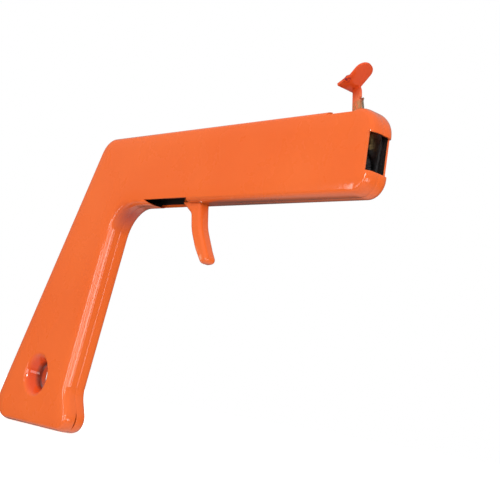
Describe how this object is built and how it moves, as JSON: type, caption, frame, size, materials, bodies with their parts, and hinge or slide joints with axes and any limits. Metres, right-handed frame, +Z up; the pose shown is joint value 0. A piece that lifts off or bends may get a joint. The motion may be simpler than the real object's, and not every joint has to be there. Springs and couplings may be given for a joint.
{
  "type": "flint spark lighter",
  "caption": "Pistol-shaped painted steel spark lighter: squeezing the trigger spins a toothed wheel against a flint held by a thumb lever.",
  "frame": {"origin": "level with the handle's flat base, halfway along the whole length and halfway through the width", "axes": "+X from the handle towards the muzzle along the barrel, +Y across the body away from the near panel, +Z up"},
  "size_m": [0.2039, 0.0104, 0.1392],
  "materials": {
    "shell_paint": "glossy orange enamel",
    "trigger_paint": "glossy orange enamel, worn at the tip",
    "lever_paint": "orange enamel, worn at the foot",
    "strip_steel": "plain rolled strip",
    "frame_steel": "zinc plated sheet",
    "pin_steel": "turned and bright",
    "spring_steel": "drawn wire",
    "tool_steel": "hardened, dark",
    "gear_brass": "cut brass",
    "flint_alloy": "matt grey spark alloy"
  },
  "bodies": {
    "body": {"near_half_shell": "shell_paint", "far_half_shell": "shell_paint", "seam_strip_top": "strip_steel", "seam_strip_back": "strip_steel", "seam_strip_front": "strip_steel", "seam_strip_bottom": "strip_steel", "frame_plate_near": "frame_steel", "frame_plate_far": "frame_steel", "frame_post_rear": "pin_steel", "frame_post_middle": "pin_steel", "frame_post_front": "pin_steel", "rack_guide_post": "pin_steel", "trigger_pivot_pin": "pin_steel", "trigger_sleeve": "gear_brass", "trigger_return_spring": "spring_steel", "wheel_axle": "pin_steel", "spring_washer": "spring_steel", "wheel_spacer": "gear_brass", "lever_pivot_pin": "pin_steel", "lever_sleeve": "gear_brass"},
    "trigger": {"trigger": "trigger_paint", "drive_link_pin": "pin_steel"},
    "rack": {"drive_rack": "tool_steel"},
    "pinion": {"drive_pinion": "gear_brass"},
    "wheel": {"spark_wheel": "tool_steel", "ratchet_ring": "tool_steel"},
    "lever": {"flint_lever": "lever_paint", "flint_holder": "gear_brass", "flint_plug": "gear_brass", "flint_spring": "spring_steel", "lever_spring": "spring_steel"},
    "flint": {"flint": "flint_alloy"}
  },
  "joints": [
    {"name": "trigger_hinge", "type": "hinge", "parent": "body", "child": "trigger", "pos_m": [0.01, 0, 0.116], "axis": [0, 1, 0], "range_deg": [0, 28], "stiffness_Nm_per_rad": 0.25, "springref_deg": -28.65, "deforming": ["trigger_return_spring"]},
    {"name": "rack_slide", "type": "slide", "parent": "body", "child": "rack", "axis": [1, 0, 0], "range_m": [-0.0059, 0]},
    {"name": "pinion_spin", "type": "hinge", "parent": "body", "child": "pinion", "pos_m": [0.0895, 0, 0.104], "axis": [0, 1, 0], "range_deg": [0, 125]},
    {"name": "wheel_spin", "type": "hinge", "parent": "body", "child": "wheel", "pos_m": [0.0895, 0, 0.104], "axis": [0, 1, 0], "range_deg": [0, 125]},
    {"name": "flint_lever_hinge", "type": "hinge", "parent": "body", "child": "lever", "pos_m": [0.072, 0, 0.1145], "axis": [0, 1, 0], "range_deg": [-30, 0], "stiffness_Nm_per_rad": 0.15, "springref_deg": 28.65, "deforming": ["lever_spring"]},
    {"name": "flint_slide", "type": "slide", "parent": "lever", "child": "flint", "axis": [0, 0, 1], "range_m": [0, 0.0008], "stiffness_N_per_m": 400, "springref_m": -0.003, "deforming": ["flint_spring"]}
  ],
  "couplings": [
    {"joint": "rack_slide", "follows": "trigger_hinge", "m_per_rad": -0.01187},
    {"joint": "pinion_spin", "follows": "trigger_hinge", "ratio": 4.396},
    {"joint": "wheel_spin", "follows": "trigger_hinge", "ratio": 4.396}
  ]
}
